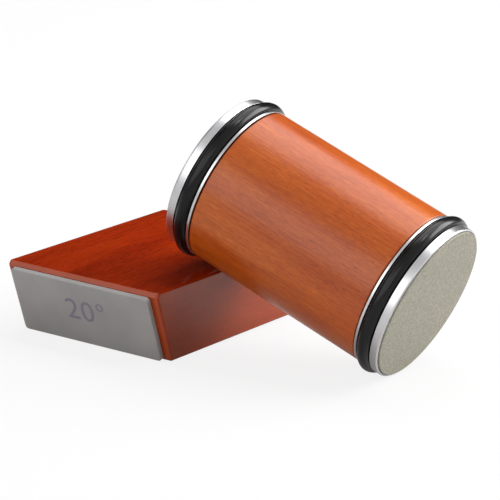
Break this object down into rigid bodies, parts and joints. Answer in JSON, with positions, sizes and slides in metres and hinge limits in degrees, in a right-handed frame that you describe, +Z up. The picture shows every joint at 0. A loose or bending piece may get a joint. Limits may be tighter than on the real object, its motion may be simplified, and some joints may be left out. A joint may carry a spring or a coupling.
{
  "type": "rolling knife sharpener",
  "caption": "Wooden roller with rubber-tyred metal wheels and flat abrasive end discs, leaning on a wedge-ended wooden block that holds a knife at its angle.",
  "frame": {"origin": "middle of the block's base mat, on the table", "axes": "+Z up, -Y out of the block's 20 degree face, +X towards the roller's lower end"},
  "size_m": [0.1609, 0.099, 0.0907],
  "materials": {
    "grip_wood": "orange-brown stain under satin lacquer",
    "block_wood": "red-brown stain under gloss lacquer",
    "polished_metal": "turned and polished",
    "bearing_steel": "ground",
    "shield_steel": "pressed",
    "cage_nylon": "moulded",
    "tyre_rubber": "smooth moulded",
    "diamond_grit": "steel plate with a fine diamond grit face",
    "honing_steel": "finely ridged",
    "pad_silicone": "smooth matt",
    "magnet_nickel": "nickel plated",
    "mat_rubber": "matt"
  },
  "bodies": {
    "block": {"wood_block": "block_wood", "knife_pad_20": "pad_silicone", "knife_pad_15": "pad_silicone", "magnet_20_1": "magnet_nickel", "magnet_20_2": "magnet_nickel", "magnet_20_3": "magnet_nickel", "magnet_15_1": "magnet_nickel", "magnet_15_2": "magnet_nickel", "magnet_15_3": "magnet_nickel", "base_mat": "mat_rubber"},
    "grip": {"wood_grip": "grip_wood", "outer_race_left": "bearing_steel", "shield_outside_left": "shield_steel", "shield_inside_left": "shield_steel", "outer_race_right": "bearing_steel", "shield_outside_right": "shield_steel", "shield_inside_right": "shield_steel"},
    "wheel_set": {"axle": "bearing_steel", "spacer_tube": "bearing_steel", "inner_race_left": "bearing_steel", "wheel_left": "polished_metal", "tyre_left": "tyre_rubber", "axle_screw_left": "bearing_steel", "inner_race_right": "bearing_steel", "wheel_right": "polished_metal", "tyre_right": "tyre_rubber", "axle_screw_right": "bearing_steel", "diamond_disc": "diamond_grit", "honing_disc": "honing_steel"},
    "ball_train_left": {"ball_left_1": "bearing_steel", "ball_left_2": "bearing_steel", "ball_left_3": "bearing_steel", "ball_left_4": "bearing_steel", "ball_left_5": "bearing_steel", "ball_left_6": "bearing_steel", "ball_left_7": "bearing_steel", "cage_left": "cage_nylon"},
    "ball_train_right": {"ball_right_1": "bearing_steel", "ball_right_2": "bearing_steel", "ball_right_3": "bearing_steel", "ball_right_4": "bearing_steel", "ball_right_5": "bearing_steel", "ball_right_6": "bearing_steel", "ball_right_7": "bearing_steel", "cage_right": "cage_nylon"}
  },
  "joints": [
    {"name": "roller_lift", "type": "slide", "parent": "block", "child": "grip", "axis": [0, 0, 1], "range_m": [0, 0.1]},
    {"name": "wheel_spin", "type": "hinge", "parent": "grip", "child": "wheel_set", "pos_m": [0.07115, 0.00007, 0.04533], "axis": [0.9255, 0.0761, -0.371], "continuous": true},
    {"name": "ball_roll_left", "type": "hinge", "parent": "grip", "child": "ball_train_left", "pos_m": [0.04088, -0.00242, 0.05746], "axis": [0.9255, 0.0761, -0.371], "continuous": true},
    {"name": "ball_roll_right", "type": "hinge", "parent": "grip", "child": "ball_train_right", "pos_m": [0.10141, 0.00256, 0.0332], "axis": [0.9255, 0.0761, -0.371], "continuous": true}
  ],
  "couplings": [
    {"joint": "ball_roll_left", "follows": "wheel_spin", "ratio": 0.36773},
    {"joint": "ball_roll_right", "follows": "wheel_spin", "ratio": 0.36773}
  ]
}
